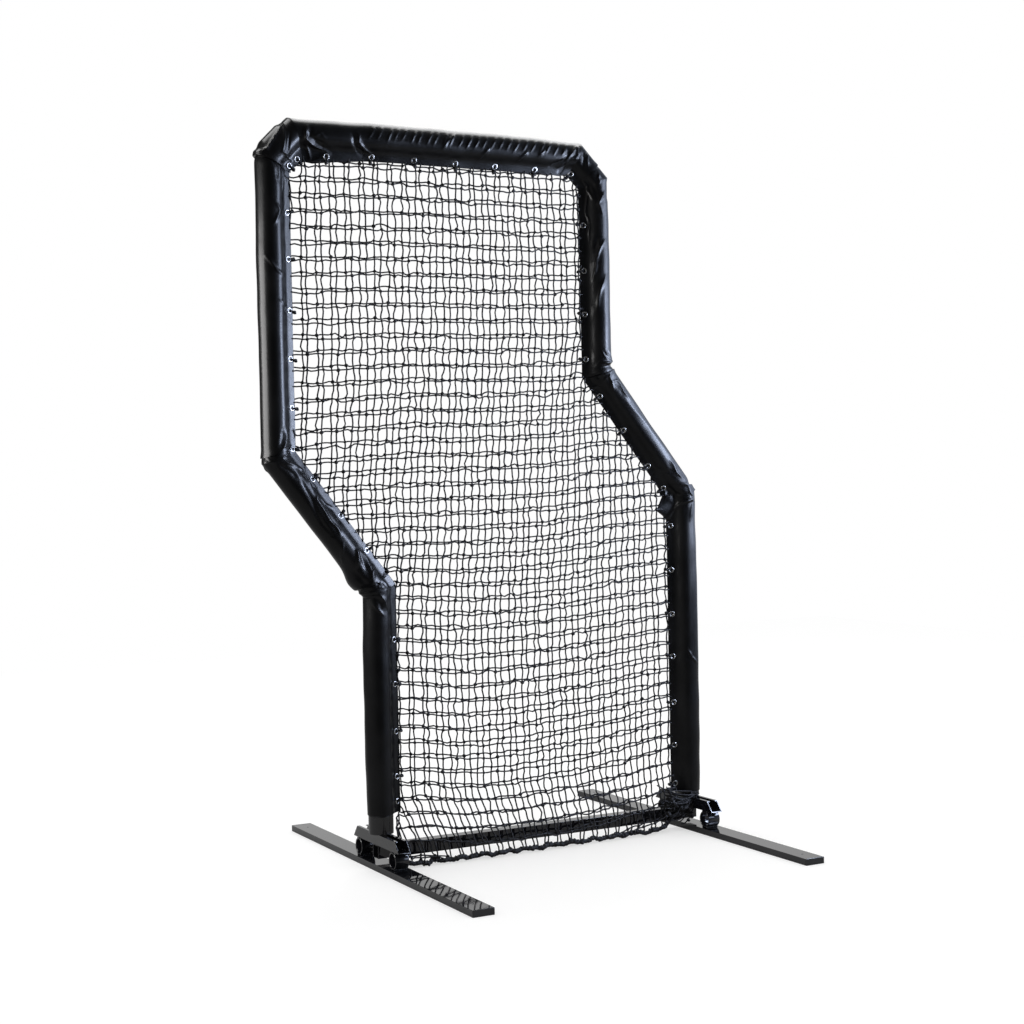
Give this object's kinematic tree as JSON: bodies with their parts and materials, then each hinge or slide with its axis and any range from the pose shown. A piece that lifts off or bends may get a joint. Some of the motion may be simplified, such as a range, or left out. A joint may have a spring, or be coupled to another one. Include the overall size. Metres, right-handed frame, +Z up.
{
  "type": "pitching z screen",
  "caption": "Free-standing Z-shaped pitching screen: padded steel tube frame with a two-layer knotted net tied to eyelets, on two long flat floor bars.",
  "frame": {"origin": "on the floor, under the middle of the bounding box", "axes": "+X to the right along the screen as seen from its front, +Y from front to back along the floor bars, +Z up"},
  "size_m": [1.4352, 1.287, 2.134],
  "materials": {
    "black_paint": "gloss black enamel",
    "tube_steel": "satin black",
    "foam": "soft closed-cell foam",
    "vinyl": "glossy creased vinyl cloth",
    "twine": "matte knotted twine",
    "cap_plastic": "satin moulded plastic"
  },
  "bodies": {
    "root": {"bottom_rail": "black_paint", "front_net": "twine", "left_bar_front_cap": "cap_plastic", "left_bar_rear_cap": "cap_plastic", "left_corner_tube": "tube_steel", "left_diagonal_cover": "vinyl", "left_diagonal_foam": "foam", "left_diagonal_tube": "tube_steel", "left_floor_bar": "black_paint", "left_front_pipe": "black_paint", "left_lower_post_cover": "vinyl", "left_lower_post_foam": "foam", "left_lower_post_tube": "tube_steel", "left_rear_pipe": "black_paint", "left_saddle": "black_paint", "left_upper_post_cover": "vinyl", "left_upper_post_foam": "foam", "left_upper_post_tube": "tube_steel", "net_hem_rope": "twine", "rear_net": "twine", "right_bar_front_cap": "cap_plastic", "right_bar_rear_cap": "cap_plastic", "right_corner_tube": "tube_steel", "right_diagonal_cover": "vinyl", "right_diagonal_foam": "foam", "right_diagonal_tube": "tube_steel", "right_floor_bar": "black_paint", "right_front_pipe": "black_paint", "right_lower_post_cover": "vinyl", "right_lower_post_foam": "foam", "right_lower_post_tube": "tube_steel", "right_rear_pipe": "black_paint", "right_saddle": "black_paint", "right_upper_post_cover": "vinyl", "right_upper_post_foam": "foam", "right_upper_post_tube": "tube_steel", "top_rail_cover": "vinyl", "top_rail_foam": "foam", "top_rail_tube": "tube_steel"}
  },
  "joints": []
}
